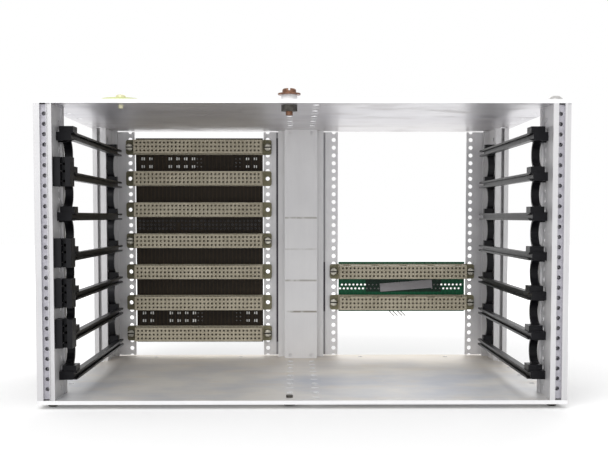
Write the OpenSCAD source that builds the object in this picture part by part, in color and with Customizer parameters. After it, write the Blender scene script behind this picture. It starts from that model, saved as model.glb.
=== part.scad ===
// Subrack card cage for double-height boards, lying on its side.
// X runs across the two rows of card guides, Y from the open front to the connectors at the
// back, Z upwards. The origin is on the table, under the middle of the cage.
// Most modules work from the front edge (y = 0); in_frame() moves them to the origin.

/* [Side plates] */
// Width over both front rails (6 height units)
subrack_w = 265.9; // [264:0.1:270]
// Depth of the side plates
plate_d = 180; // [179.8:0.2:200]
// Thickness of the side plates
plate_t = 2; // [1.5:0.1:3]
// Clear height between the side plates
inner_h = 148; // [147:0.5:156]
// Distance between neighbouring holes in a row
hole_step = 15.24; // [15:0.01:15.3]
// Distance of the first hole of each row from the front edge
first_hole_y = 10.16; // [9.6:0.1:11]
// Distance of the two middle hole rows from the centre line
mid_row_x = 6.8; // [6:0.1:7.2]
// Width of the larger holes
big_hole_w = 3.2; // [2.6:0.1:3.6]
// Length of the larger holes
big_hole_l = 4.6; // [4:0.1:6]
// Width of the shallow slots between them in the middle rows
slot_w = 3.8; // [3:0.1:4.2]
// Length of the shallow slots
slot_l = 1.8; // [1.4:0.1:2.4]
// Diameter of the small holes between them in the outer rows
small_hole_d = 1.6; // [1.2:0.1:2.4]
// Diameter of the cover holes near the back edge
cover_hole_d = 3.2; // [2.6:0.1:3.6]
// Distance of the cover holes from the back edge
cover_hole_inset = 11; // [9:0.5:12]
// Distance of the inner cover holes from the centre line
cover_hole_x1 = 39.1; // [36:0.1:42]
// Distance of the outer cover holes from the centre line
cover_hole_x2 = 95.1; // [90:0.1:98]

/* [Slots] */
// Distance between neighbouring boards (4 horizontal pitches)
slot_pitch = 20.32; // [20.2:0.02:20.4]
// Height of the lowest board above the bottom side plate
first_slot_h = 10.8; // [9.6:0.1:11.6]
// Height of a board, measured across the cage
board_w = 233.35; // [232.9:0.05:233.7]
// Depth of the plane on which the connectors are seated
connector_plane_y = 175.24; // [174.8:0.02:175.8]

/* [Front rails] */
// Width of a front rail
front_rail_w = 8.95; // [8.6:0.05:9.4]
// Depth of the solid part of a front rail
front_rail_d = 14; // [13.6:0.1:14.4]
// Thickness of the lips beside the panel groove
lip_t = 1.5; // [1.2:0.1:1.8]
// Distance between the panel screws of the two front rails
panel_fixing_spacing = 255.85; // [255.5:0.05:256.2]
// Width of the mouth of the panel groove
groove_mouth_w = 3.2; // [3:0.1:3.4]
// Width of the panel groove behind its lips
groove_w = 5.4; // [5:0.1:5.8]
// Depth of the panel groove from the front face
groove_d = 5; // [4.4:0.1:5.4]
// Thickness of the threaded strips in the panel grooves
threaded_t = 2.8; // [2:0.1:3]
// Core diameter of their threads
thread_core_d = 2.1; // [2:0.05:2.2]
// Step between the front lip and the inner wall of the rail
lip_step = 0.6; // [0.3:0.1:0.8]
// Thickness of the inner wall that carries the guides
wall_t = 1.5; // [1.2:0.1:1.8]
// Depth at which the bead at the back of the wall begins
bead_y = 24; // [23.5:0.1:25]
// Depth of the bead
bead_d = 4.2; // [3.6:0.1:5]
// Height of the bead above the inner wall
bead_h = 0.9; // [0.6:0.1:1.2]
// Width of the shallow recess in one lip
recess_w = 1.8; // [1.2:0.1:2]
// Depth of the shallow recess
recess_d = 0.8; // [0.4:0.1:1]
// Diameter of the hole for an end screw
core_d = 4.2; // [4.1:0.05:4.4]
// Distance of the end screws from the outer edge of the side plates
core_inset = 5.75; // [5.4:0.05:6]
// Depth of the end-screw holes of the front rails
front_core_y = 10.16; // [9.8:0.02:10.6]

/* [Rear rails] */
// Depth at which the rear rails begin
rear_rail_y = 150; // [149:0.1:150.6]
// Depth of the box of a rear rail
rear_box_d = 16.6; // [16.4:0.1:17.6]
// Width of the box of a rear rail
rear_rail_w = 8.4; // [8.2:0.1:8.8]
// Distance between the box and the outer edge of the side plates
rear_inset = 1.15; // [0.8:0.05:1.4]
// Wall of the rear rails
rear_wall_t = 1.4; // [1.2:0.1:1.6]
// Width of the mouth of the groove in a rear rail
rear_mouth_w = 2; // [1.6:0.1:2.4]
// Reach of the flange that carries the outer perforated strip
rear_flange_w = 3.5; // [3.2:0.1:4]
// Thickness of that flange
rear_flange_t = 2; // [1.6:0.1:2.4]
// Depth of the end-screw holes of the rear rails
rear_core_y = 162.56; // [162:0.02:162.8]

/* [Centre rail] */
// Width of the front plate of the centre rail
centre_w = 21; // [20:0.1:21.6]
// Depth at which the centre rail begins
centre_y = 163; // [162.4:0.1:163.6]
// Wall of the centre rail
centre_wall_t = 1.6; // [1.4:0.1:1.8]
// Reach of each side flange
centre_flange_w = 4.3; // [4:0.1:4.8]
// Depth of the side flanges behind the front plate
centre_flange_back = 8; // [7.6:0.1:8.4]
// Width of the rib that carries the inner perforated strip
centre_rib_w = 2.8; // [2.6:0.1:3.2]
// Diameter of the screw holes in the centre rail
centre_core_d = 3.4; // [3.2:0.05:3.6]
// Depth of the screw holes in the centre rail
centre_core_y = 169.6; // [169:0.05:170]

/* [Perforated strips] */
// Width of a perforated strip
strip_w = 13; // [12.8:0.1:13.4]
// Thickness of a perforated strip
strip_t = 1.5; // [1.2:0.1:1.7]
// Diameter of the holes in the strips
strip_hole_d = 2.7; // [2.6:0.05:2.9]
// Distance of the holes from the free edge of a strip
strip_hole_edge = 2.7; // [2.4:0.05:2.9]
// Gap between each end of a strip and the side plates
strip_end_gap = 0.65; // [0.4:0.05:1]
// Width of the long groove in a strip
strip_groove_w = 1.3; // [1:0.1:1.4]
// Depth of the long groove
strip_groove_d = 0.7; // [0.4:0.1:0.9]
// Number of screws that hold one strip
strip_screw_count = 3; // [2:1:5]

/* [Guides] */
// Depth at which the guides begin
guide_y = 13; // [12.6:0.1:13.4]
// Depth at which the forked end of the guides stops
guide_end_y = 162.5; // [161.5:0.1:162.8]
// Height of the guide bar
bar_h = 4; // [3.8:0.1:4.2]
// Width of the guide bar without its back rib
bar_w = 3.4; // [3.2:0.1:3.8]
// Width of the board groove
board_groove_w = 1.8; // [1.6:0.1:2]
// How far the board edge reaches into the groove
board_reach = 1.3; // [1.2:0.1:1.6]
// Clearance behind the board edge
board_clearance = 0.4; // [0.3:0.05:0.6]
// Length of the forked end
fork_l = 6; // [5:0.1:7]
// Height of the front block
block_h = 4.3; // [4.1:0.1:4.5]
// Length of the front block
block_l = 11; // [10.6:0.1:12]
// Height of the tabs above the bar
tab_h = 3.1; // [2.8:0.1:3.4]
// Depth at which the rear block begins
rear_block_y = 152.4; // [152:0.1:152.8]
// Length of the rear block
rear_block_l = 6.4; // [6:0.1:6.8]
// Diameter of the pegs that snap into the rails
peg_d = 2.4; // [2.2:0.05:2.5]
// Length of the pegs inside the rails
peg_l = 1.8; // [1.2:0.1:2]
// Clearance around a peg
peg_clearance = 0.2; // [0.15:0.05:0.3]
// Distance of the pegs below the middle of the groove
peg_drop = 1.7; // [1.4:0.1:1.9]
// Depth of the front pegs
front_peg_y = 18.4; // [18:0.1:19]
// Depth of the rear pegs
rear_peg_y = 157.2; // [157.1:0.05:157.3]

/* [Bows between the guides] */
// Width of the bows
bow_w = 4.1; // [3.6:0.1:4.4]
// Thickness of the bows
bow_t = 1.5; // [1.3:0.1:1.8]
// How far the bows bulge towards the middle of the guides
bow_bulge = 4.6; // [4:0.1:5.4]
// Distance of the bows from the wall of the front rail
bow_gap = 1.7; // [1.4:0.1:2]

/* [Coding blocks] */
// Height of a coding block
coding_h = 14.6; // [14:0.1:15.4]
// Width of a coding block
coding_w = 9; // [8.6:0.1:9.4]
// Depth at which a coding block begins
coding_y = 3; // [2.6:0.1:3.6]
// Width of the channel in a coding block
coding_channel_w = 2.5; // [2.2:0.1:2.8]
// Depth of the channel
coding_channel_d = 4; // [3:0.1:5]
// Distance of a coding block's middle above the groove
coding_rise = 2.1; // [1.8:0.1:2.4]

/* [Connectors] */
// Distance between the upper and lower connector of one board
connector_spacing = 133.35; // [133.05:0.05:133.55]
// Distance of a connector's middle above its board
connector_rise = 4.55; // [4.3:0.05:4.8]
// Height of the connectors above the plane on which they are seated
connector_h = 11.6; // [11:0.1:12]
// Length of the contact body
body_l = 82.8; // [82.4:0.1:83.2]
// Width of the contact body
body_w = 8.8; // [8.6:0.1:9.2]
// Length over the two flanges
flange_l = 95; // [94.8:0.1:96]
// Width of the flanges
flange_w = 9.7; // [9.4:0.1:10]
// Thickness of the flanges
flange_t = 3; // [2.6:0.1:3.4]
// Distance between the two fixing holes
fixing_spacing = 90; // [89.9:0.05:90.1]
// Diameter of the fixing holes
fixing_d = 2.8; // [2.7:0.05:3]
// Distance between neighbouring contacts
contact_pitch = 2.54; // [2.5:0.01:2.55]
// Width of a contact opening
contact_w = 1.15; // [1:0.05:1.3]
// Depth of a contact opening
contact_d = 6; // [4:0.5:7]

/* [Backplanes] */
// Width of the two backplane boards
backplane_w = 83.4; // [82.8:0.1:83.8]
// Thickness of the backplane boards
backplane_t = 1.6; // [1.4:0.1:1.8]
// Margin of the boards beyond the outermost connectors
backplane_margin = 6.2; // [5.8:0.1:6.8]
// Diameter of the open plated holes in the right board
via_d = 1.15; // [0.9:0.05:1.3]
// Length of the blank label
label_l = 34.6; // [32:0.2:36]
// Width of the blank label
label_w = 5.4; // [5:0.1:6]
// Thickness of the blank label
label_t = 0.5; // [0.3:0.1:0.8]
// Tilt of the label, in degrees
label_tilt = 4.4; // [0:0.1:6]

/* [Fasteners] */
// Height of the screw heads on which the cage stands
foot_h = 2.4; // [2.2:0.1:3]
// Diameter of those heads
foot_d = 7; // [6.6:0.1:8]
// Diameter of the domed heads on top
dome_d = 8; // [7.4:0.1:8.6]
// Height of the domed heads on top
dome_h = 2.5; // [2.2:0.1:3]
// Diameter of the shanks of the end screws
rail_screw_d = 3.9; // [3.6:0.05:4]
// Length of the end screws in the rails
rail_screw_l = 10; // [8:0.5:14]
// Diameter of the heads of the connector screws
small_head_d = 5; // [4.6:0.1:5.2]
// Height of the heads of the connector screws
small_head_h = 1.8; // [1.5:0.1:2.2]
// Diameter of the shanks of the connector screws
small_screw_d = 2.4; // [2.2:0.05:2.5]
// Width across the flats of the nuts of the connector screws
small_nut_af = 5; // [4.6:0.1:5.2]
// Thickness of those nuts
small_nut_t = 1.8; // [1.6:0.1:2]
// Diameter of the shank of the earth screw
earth_screw_d = 3.5; // [3.2:0.1:3.8]
// Diameter of the head of the earth screw
earth_head_d = 7; // [6.6:0.1:7.6]
// Height of the head of the earth screw
earth_head_h = 2.4; // [2.2:0.1:2.8]
// Diameter of the washer under that head
washer_d = 11.4; // [10:0.1:12]
// Thickness of that washer
washer_t = 0.8; // [0.6:0.1:1]
// Height of the spacer under the washer
spacer_h = 3; // [2.6:0.1:3.4]
// Diameter of the spacer
spacer_d = 8; // [7:0.1:9]
// Width across the flats of the earth nut
earth_nut_af = 7; // [6.6:0.1:7.4]
// Thickness of the earth nut
earth_nut_t = 3.2; // [2.8:0.1:3.6]
// Diameter of the pale disc on the top side plate
disc_d = 19.6; // [18:0.2:20]
// Thickness of the pale disc
disc_t = 1; // [0.8:0.1:1.4]
// Distance of the disc's middle from the centre line
disc_x = 91.6; // [88:0.2:94]
// Distance of the disc's middle from the front edge
disc_y = 12; // [10.4:0.2:16]

/* [Hidden] */
SLOTS = 7;
CONTACT_COLUMNS = 32;
CONTACT_ROWS = 3;
CODED_SLOTS = [2, 4, 5, 6];
SCREWED_SLOTS = [1, 4, 7];
RIGHT_SLOTS = [5, 6];
OPEN_VIAS_LEFT = 7;
OPEN_VIAS_RIGHT = 6;
STEPS_PER_SLOT = 4;

cut = 1;
fit = 0.1;
screw_clearance = 0.2;
strip_step = slot_pitch / STEPS_PER_SLOT;
half_w = subrack_w / 2;
floor_z = foot_h + plate_t;
roof_z = floor_z + inner_h;
top_z = roof_z + plate_t;
lip_x = half_w - front_rail_w;
wall_x = lip_x + lip_step;
core_x = half_w - core_inset;
panel_x = panel_fixing_spacing / 2;
groove_x = panel_x + 0.3;
rear_out_x = half_w - rear_inset;
rear_wall_x = rear_out_x - rear_rail_w;
rear_mouth_x = rear_wall_x + 4.6;
guide_x = board_w / 2 - board_reach;
groove_end_x = board_w / 2 + board_clearance;
rib_x = guide_x + bar_w;
bow_x = wall_x - bow_gap - bow_w;
tab_x = guide_x + 0.7;
tab_end_x = wall_x - 1.4;
rear_tab_end_x = rear_wall_x - 0.3;
rib_w = 0.8;
rib_h = 2.2;
connector_x = connector_spacing / 2;
strip_hole_x1 = connector_x - fixing_spacing / 2;
strip_hole_x2 = connector_x + fixing_spacing / 2;
strip_back_y = connector_plane_y + strip_t;
backplane_back_y = strip_back_y + backplane_t;
groove_start = 8.2;
outer_groove_start = strip_hole_edge + 7;
strip_screw_edge = 11.93;
strip_screw_d = 1.4;
strip_screw_x1 = strip_hole_x1 + strip_hole_edge - strip_screw_edge;
strip_screw_x2 = strip_hole_x2 - strip_hole_edge + strip_screw_edge;
centre_flange_y = centre_y + centre_flange_back;
rear_flange_y = connector_plane_y - rear_flange_t;
outer_rows = [1 : 9];
mid_rows = [0 : 9];
cone_h = 1.9;
cone_d = 7.6;
centre_cone_h = 1.6;
centre_cone_d = 6.2;
centre_screw_d = centre_core_d - 0.2;
spare_screw_h = 1.9;
lead_d = 0.5;
lead_x = [57.8, 60.2, 63.3, 65.4];
head_slot_w = 0.9;

// Height of the middle of a guide's groove; slot 1 is the highest
function slot_z(slot) = floor_z + first_slot_h + (SLOTS - slot) * slot_pitch;

// Height of the middle of a slot's connectors
function connector_z(slot) = slot_z(slot) + connector_rise;

// Heights of all holes that lie on the strips' grid, offset from the lowest slot by rise
function grid_z(rise) = [
    for (k = [-4 : SLOTS * STEPS_PER_SLOT + 1])
        let (z = slot_z(SLOTS) + rise + k * strip_step)
            if (z > floor_z - strip_hole_d / 2 && z < roof_z + strip_hole_d / 2) z
];

// Moves a piece built from the front edge to the origin
module in_frame() {
    translate([0, -plate_d / 2, 0])
        children();
}

// Extrudes a section drawn in the XY plane between the two side plates
module upright(gap = 0) {
    translate([0, 0, floor_z + gap])
        linear_extrude(inner_h - 2 * gap)
            children();
}

// Extrudes a section drawn as (x, z) along the depth, from y0 to y1
module along_depth(y0, y1) {
    translate([0, y1, 0])
        rotate([90, 0, 0])
            linear_extrude(y1 - y0)
                children();
}

// Mirrors a right-hand piece for the left side
module on_side(right) {
    mirror([right ? 0 : 1, 0, 0])
        children();
}

// A hole with round ends that is w wide along X and l long along Y
module slot_2d(w, l) {
    square([w, l - w > 0 ? l - w : l], center = true);
    if (l > w)
        for (side = [-1, 1])
            translate([0, side * (l - w) / 2])
                circle(d = w, $fn = 32);
}

// Places its children on the two end-screw positions at depth y
module at_cores(y) {
    for (side = [-1, 1])
        translate([side * core_x, y, 0])
            children();
}

// All holes of one side plate; big_first says whether the middle rows start with a larger hole
module plate_holes_2d(big_first) {
    at_cores(front_core_y)
        circle(d = rail_screw_d + 2 * screw_clearance, $fn = 48);
    at_cores(rear_core_y)
        circle(d = rail_screw_d + 2 * screw_clearance, $fn = 48);
    for (side = [-1, 1]) {
        for (k = mid_rows)
            translate([side * mid_row_x, first_hole_y + k * hole_step])
                if (k % 2 == (big_first ? 0 : 1))
                    slot_2d(big_hole_w, big_hole_l);
                else
                    slot_2d(slot_w, slot_l);
        for (k = outer_rows)
            translate([side * core_x, first_hole_y + k * hole_step])
                if (k % 2 == 1)
                    slot_2d(big_hole_w, big_hole_l);
                else
                    circle(d = small_hole_d, $fn = 32);
        for (x = [cover_hole_x1, cover_hole_x2])
            translate([side * x, plate_d - cover_hole_inset])
                circle(d = cover_hole_d, $fn = 32);
        translate([side * mid_row_x, centre_core_y])
            circle(d = centre_screw_d + 2 * screw_clearance, $fn = 32);
    }
}

// Flat side plate between z = 0 and its thickness
module side_plate(big_first) {
    linear_extrude(plate_t)
        difference() {
            translate([-half_w, 0])
                square([subrack_w, plate_d]);
            plate_holes_2d(big_first);
            translate([-mid_row_x, first_hole_y])
                circle(d = earth_screw_d + 2 * screw_clearance, $fn = 48);
        }
}

// Cone that lets a countersunk screw sit flush; its wide end is at z = 0
module sink_cone(d, h, hole_d) {
    translate([0, 0, -h])
        cylinder(h = h, d1 = hole_d, d2 = d, $fn = 48);
}

module top_side_plate() {
    color("gainsboro")
        in_frame()
            difference() {
                translate([0, 0, roof_z])
                    side_plate(true);
                translate([-core_x, front_core_y, top_z])
                    sink_cone(cone_d, cone_h, rail_screw_d);
                for (side = [-1, 1])
                    translate([side * mid_row_x, centre_core_y, top_z])
                        sink_cone(centre_cone_d, centre_cone_h, centre_screw_d);
                translate([-disc_x, disc_y, roof_z - cut])
                    cylinder(h = plate_t + 2 * cut, d = small_screw_d + 2 * fit, $fn = 32);
            }
}

module bottom_side_plate() {
    color("silver")
        in_frame()
            difference() {
                translate([0, 0, foot_h])
                    side_plate(false);
                for (side = [-1, 1])
                    translate([side * mid_row_x, centre_core_y, foot_h])
                        mirror([0, 0, 1])
                            sink_cone(centre_cone_d, centre_cone_h, centre_screw_d);
            }
}

// Section of a right-hand front rail: panel groove, screw core, wall and bead.
// recess_at is the side of the groove on which the face has its shallow recess.
module front_rail_2d(recess_at) {
    difference() {
        union() {
            translate([wall_x, 0])
                square([half_w - wall_x, front_rail_d]);
            translate([lip_x, 0])
                square([front_rail_w, lip_t]);
            translate([wall_x, 0])
                square([wall_t, bead_y + bead_d]);
            translate([wall_x - bead_h, bead_y])
                square([bead_h + wall_t, bead_d]);
        }
        translate([groove_x - groove_mouth_w / 2, -cut])
            square([groove_mouth_w, groove_d + cut]);
        translate([groove_x - groove_w / 2, lip_t])
            square([groove_w, groove_d - lip_t]);
        translate([recess_at < 0 ? lip_x + lip_step : half_w - recess_w, -cut])
            square([recess_w, recess_d + cut]);
        translate([core_x, front_core_y])
            circle(d = core_d, $fn = 48);
    }
}

// Row of round holes through a wall along X, on the strips' grid
module peg_holes(y, x, depth) {
    for (z = grid_z(-peg_drop))
        if (z > floor_z + peg_d && z < roof_z - peg_d)
            translate([x - cut, y, z])
                rotate([0, 90, 0])
                    cylinder(h = depth + 2 * cut, d = peg_d + 2 * peg_clearance, $fn = 32);
}

// Threaded strip that slides in the panel groove
module threaded_strip(right) {
    color("darkgray")
        in_frame()
            on_side(right)
                difference() {
                    upright(strip_end_gap)
                        translate([groove_x - groove_w / 2 + fit, lip_t])
                            square([groove_w - 2 * fit, threaded_t]);
                    for (z = grid_z(0))
                        if (z > floor_z + strip_step / 2 && z < roof_z - strip_step / 2)
                            translate([panel_x, lip_t - cut, z])
                                rotate([-90, 0, 0])
                                    cylinder(h = threaded_t + 2 * cut, d = thread_core_d,
                                             $fn = 32);
                }
}

module front_rail(right) {
    color("lightgray")
        in_frame()
            on_side(right)
                difference() {
                    upright()
                        front_rail_2d(right ? 1 : -1);
                    peg_holes(front_peg_y, wall_x, wall_t);
                }
}

// Section of a right-hand rear rail: grooved box, screw core, wall and strip flange
module rear_rail_2d() {
    groove_back = 4.4;
    chamber_y = groove_back + rear_wall_t;
    core_out_r = core_d / 2 + rear_wall_t;
    difference() {
        translate([rear_wall_x, rear_rail_y])
            square([rear_rail_w, rear_box_d]);
        translate([rear_mouth_x - rear_mouth_w / 2, rear_rail_y - cut])
            square([rear_mouth_w, groove_back + cut]);
        translate([rear_wall_x + rear_wall_t, rear_rail_y + rear_wall_t])
            square([rear_rail_w - 2 * rear_wall_t, groove_back - rear_wall_t]);
        difference() {
            translate([rear_wall_x + rear_wall_t, rear_rail_y + chamber_y])
                square([rear_rail_w - 2 * rear_wall_t,
                        rear_box_d - chamber_y - rear_wall_t]);
            translate([core_x, rear_core_y])
                circle(r = core_out_r, $fn = 48);
        }
        translate([core_x, rear_core_y])
            circle(d = core_d, $fn = 48);
    }
    translate([rear_wall_x, rear_rail_y + rear_box_d - rear_wall_t])
        square([rear_wall_t, connector_plane_y - rear_rail_y - rear_box_d + rear_wall_t]);
    translate([rear_wall_x - rear_flange_w, rear_flange_y])
        square([rear_flange_w + rear_wall_t, rear_flange_t]);
}

module rear_rail(right) {
    color("lightgray")
        in_frame()
            on_side(right)
                difference() {
                    upright()
                        rear_rail_2d();
                    peg_holes(rear_peg_y, rear_wall_x, rear_wall_t);
                    strip_screw_holes(strip_screw_x2);
                }
}

// Section of the centre rail: a hat with side flanges, strip ribs and two screw cores
module centre_rail_2d() {
    side_x = centre_w / 2;
    translate([-side_x, centre_y])
        square([centre_w, centre_wall_t]);
    for (side = [-1, 1])
        mirror([side < 0 ? 1 : 0, 0]) {
            translate([side_x - centre_wall_t, centre_y])
                square([centre_wall_t, connector_plane_y - centre_y]);
            translate([side_x, centre_flange_y])
                square([centre_flange_w, centre_wall_t]);
            translate([side_x, centre_flange_y])
                square([centre_rib_w, connector_plane_y - centre_flange_y]);
            difference() {
                translate([mid_row_x, centre_core_y])
                    circle(d = centre_core_d + 2 * centre_wall_t, $fn = 48);
                translate([mid_row_x, centre_core_y])
                    circle(d = centre_core_d, $fn = 48);
            }
        }
}

module centre_rail() {
    dimple_rise = 2;
    color("lightgray")
        in_frame()
            difference() {
                upright()
                    centre_rail_2d();
                for (side = [-1, 1]) {
                    on_side(side > 0)
                        strip_screw_holes(strip_screw_x1);
                    for (z = [floor_z + dimple_rise, roof_z - dimple_rise])
                        translate([side * mid_row_x, centre_y - cut, z])
                            rotate([-90, 0, 0])
                                cylinder(h = centre_wall_t + cut - 0.2, d = 2.2, $fn = 32);
                }
            }
}

// Heights of the screws that hold a perforated strip
function strip_screw_z(i) =
    floor_z + inner_h * (i + 0.5) / strip_screw_count;

// Blind holes for the strip screws, in the flange or rib behind the strip at x
module strip_screw_holes(x) {
    for (i = [0 : strip_screw_count - 1])
        translate([x, connector_plane_y - 1.6, strip_screw_z(i)])
            rotate([-90, 0, 0])
                cylinder(h = 1.6 + cut, d = strip_screw_d + 0.2, $fn = 32);
}

// Perforated strip: free edge at x0, hidden edge at x0 + width in direction dir
module strip(x0, dir, groove_at) {
    color("lightgray")
        in_frame()
            difference() {
                upright(strip_end_gap)
                    difference() {
                        translate([dir > 0 ? x0 : x0 - strip_w, connector_plane_y])
                            square([strip_w, strip_t]);
                        translate([x0 + dir * (groove_at + strip_groove_w / 2),
                                   connector_plane_y])
                            square([strip_groove_w, 2 * strip_groove_d], center = true);
                    }
                for (z = grid_z(connector_rise))
                    translate([x0 + dir * strip_hole_edge, connector_plane_y - cut, z])
                        rotate([-90, 0, 0])
                            cylinder(h = strip_t + 2 * cut, d = strip_hole_d, $fn = 32);
                for (i = [0 : strip_screw_count - 1])
                    translate([x0 + dir * strip_screw_edge, connector_plane_y - cut,
                               strip_screw_z(i)])
                        rotate([-90, 0, 0])
                            cylinder(h = strip_t + 2 * cut, d = strip_screw_d + 0.3, $fn = 32);
            }
}

module inner_strip(right) {
    on_side(right)
        strip(strip_hole_x1 + strip_hole_edge, -1, groove_start);
}

module outer_strip(right) {
    on_side(right)
        strip(strip_hole_x2 - strip_hole_edge, 1, outer_groove_start);
}

// Section of the guide bar as (x, z): board groove towards the cage, rib at the back
module bar_2d() {
    difference() {
        union() {
            translate([guide_x, -bar_h / 2])
                square([bar_w, bar_h]);
            translate([rib_x, -rib_h / 2])
                square([rib_w, rib_h]);
        }
        translate([guide_x - cut, -board_groove_w / 2])
            square([groove_end_x - guide_x + cut, board_groove_w]);
    }
}

// Flared mouth of the board groove at the front end, drawn as (y, z)
module groove_flare() {
    flare_l = 5;
    flare_h = bar_h - 1;
    translate([guide_x - cut, guide_y, 0])
        rotate([90, 0, 90])
            linear_extrude(groove_end_x - guide_x + cut)
                polygon([[-cut, -flare_h / 2], [0, -flare_h / 2],
                         [flare_l, -board_groove_w / 2], [flare_l, board_groove_w / 2],
                         [0, flare_h / 2], [-cut, flare_h / 2]]);
}

// Two lips left standing where the back of the groove is cut away
module fork_cut() {
    translate([guide_x - cut, guide_end_y - fork_l, -board_groove_w / 2])
        cube([bar_w + rib_w + 2 * cut, fork_l + cut, board_groove_w]);
    translate([groove_end_x + 0.8, guide_end_y - fork_l, -bar_h / 2 - cut])
        cube([bar_w + cut, fork_l + cut, bar_h + 2 * cut]);
}

// Peg that snaps into a rail wall, pointing outwards from x
module peg(x, y) {
    translate([x - 3, y, -peg_drop])
        rotate([0, 90, 0])
            cylinder(h = 3 + peg_l, d = peg_d, $fn = 32);
}

// Curved band from the underside of a guide to the top of the tab below it.
// dir is the direction in which it bulges along the depth.
module bow(x, y, dir, z_low) {
    z_high = -bar_h / 2;
    half_chord = (z_high - z_low) / 2;
    r = (half_chord * half_chord + bow_bulge * bow_bulge) / (2 * bow_bulge);
    translate([x, y, 0])
        rotate([90, 0, 90])
            linear_extrude(bow_w)
                intersection() {
                    translate([dir * (bow_bulge - r), (z_high + z_low) / 2])
                        difference() {
                            circle(r = r + bow_t / 2, $fn = 96);
                            circle(r = r - bow_t / 2, $fn = 96);
                        }
                    translate([dir > 0 ? -bow_t : -3 * bow_bulge, z_low])
                        square([3 * bow_bulge + bow_t, z_high - z_low]);
                }
}

// Card guide; slot 7 has no bows under it
module guide(right, slot) {
    tab_l = 4.4;
    front_bow_y = guide_y + block_l - 3;
    rear_bow_y = rear_block_y + 2;
    next_tab_z = bar_h / 2 + tab_h - slot_pitch;
    color("#1b1b1d")
        in_frame()
            on_side(right)
                translate([0, 0, slot_z(slot)]) {
                    difference() {
                        union() {
                            along_depth(guide_y, guide_end_y)
                                bar_2d();
                            translate([groove_end_x + 0.8, guide_y, -block_h / 2])
                                cube([wall_x - groove_end_x - 0.8, block_l, block_h]);
                            translate([rib_x - 0.4, rear_block_y, -bar_h / 2])
                                cube([rear_wall_x - rib_x + 0.4, rear_block_l, bar_h]);
                            peg(wall_x, front_peg_y);
                            peg(rear_wall_x, rear_peg_y);
                        }
                        groove_flare();
                        fork_cut();
                    }
                    translate([tab_x, guide_y + 1, bar_h / 2])
                        cube([tab_end_x - tab_x, block_l - 1, tab_h]);
                    translate([tab_x + 1, rear_block_y, bar_h / 2])
                        cube([rear_tab_end_x - tab_x - 1, tab_l, tab_h]);
                    if (slot < SLOTS) {
                        bow(bow_x, front_bow_y, 1, next_tab_z);
                        bow(bow_x, rear_bow_y, -1, next_tab_z);
                    }
                }
}

// Coding block in front of a left-hand guide, with an open channel and three pin sockets
module coding_block(slot) {
    block_d = guide_y - coding_y;
    channel_x = wall_x - 6.5;
    color("#161618")
        in_frame()
            on_side(false)
                translate([0, 0, slot_z(slot) + coding_rise])
                    difference() {
                        translate([wall_x - coding_w, coding_y, -coding_h / 2])
                            cube([coding_w, block_d, coding_h]);
                        translate([channel_x, coding_y - cut, -coding_h / 2 - cut])
                            cube([coding_channel_w, coding_channel_d + cut, coding_h + 2 * cut]);
                        for (z = [-0.32, 0.02, 0.26])
                            translate([channel_x + coding_channel_w / 2, coding_y, z * coding_h])
                                rotate([-90, 0, 0])
                                    cylinder(h = block_d - 2, d = 1.4, $fn = 32);
                    }
}

// Female connector: contact body, two flanges and a foot that reaches the backplane
module connector(x, slot, notched) {
    face_y = connector_plane_y - connector_h;
    flange_y = connector_plane_y - flange_t;
    notch_w = 4.6;
    notch_t = 0.6;
    color("#a49c85")
        in_frame()
            translate([x, 0, connector_z(slot)])
                difference() {
                    union() {
                        translate([-body_l / 2, face_y, -body_w / 2])
                            cube([body_l, connector_h, body_w]);
                        flange_bar(flange_y);
                        translate([-body_l / 2 + 1.2, connector_plane_y, -body_w / 2 + 0.4])
                            cube([body_l - 2.4, strip_t, body_w - 0.8]);
                    }
                    contact_openings(face_y);
                    for (side = [-1, 1])
                        translate([side * fixing_spacing / 2, flange_y - cut, 0])
                            rotate([-90, 0, 0])
                                cylinder(h = flange_t + 2 * cut, d = fixing_d, $fn = 32);
                    if (notched)
                        for (k = [-2 : 2])
                            translate([k * body_l * 0.22 - notch_w / 2, face_y - cut,
                                       body_w / 2 - notch_t])
                                cube([notch_w, connector_h - flange_t, notch_t + cut]);
                }
}

// Flange bar of a connector with rounded outer corners
module flange_bar(y) {
    corner = 1.6;
    translate([0, y + flange_t, 0])
        rotate([90, 0, 0])
            linear_extrude(flange_t) {
                square([flange_l - 2 * corner, flange_w], center = true);
                square([flange_l, flange_w - 2 * corner], center = true);
                for (sx = [-1, 1], sz = [-1, 1])
                    translate([sx * (flange_l / 2 - corner), sz * (flange_w / 2 - corner)])
                        circle(r = corner, $fn = 32);
            }
}

// Blind square openings for the contacts
module contact_openings(face_y) {
    for (i = [0 : CONTACT_COLUMNS - 1], j = [0 : CONTACT_ROWS - 1])
        translate([(i - (CONTACT_COLUMNS - 1) / 2) * contact_pitch - contact_w / 2,
                   face_y - cut,
                   (j - (CONTACT_ROWS - 1) / 2) * contact_pitch - contact_w / 2])
            cube([contact_w, contact_d + cut, contact_w]);
}

module connector_left(slot) {
    connector(-connector_x, slot, false);
}

module connector_right(slot) {
    connector(connector_x, slot, true);
}

// Backplane board behind the connectors of slots first to last
module backplane(x, first, last) {
    translate([x - backplane_w / 2, strip_back_y, connector_z(last) - backplane_margin])
        cube([backplane_w, backplane_t,
              connector_z(first) - connector_z(last) + 2 * backplane_margin]);
}

module backplane_left() {
    color("#2a1f18")
        in_frame()
            backplane(-connector_x, 1, SLOTS);
}

// Two staggered rows of open plated holes between the connectors, near both ends
module via_row(z, shift, left_count, right_count) {
    row_l = CONTACT_COLUMNS - 1;
    for (k = concat([for (i = [0 : left_count - 1]) i],
                    [for (i = [row_l - right_count + 1 : row_l]) i]))
        translate([connector_x + (k - row_l / 2) * contact_pitch + shift, strip_back_y - cut, z])
            rotate([-90, 0, 0])
                cylinder(h = backplane_t + 2 * cut, d = via_d, $fn = 32);
}

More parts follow.
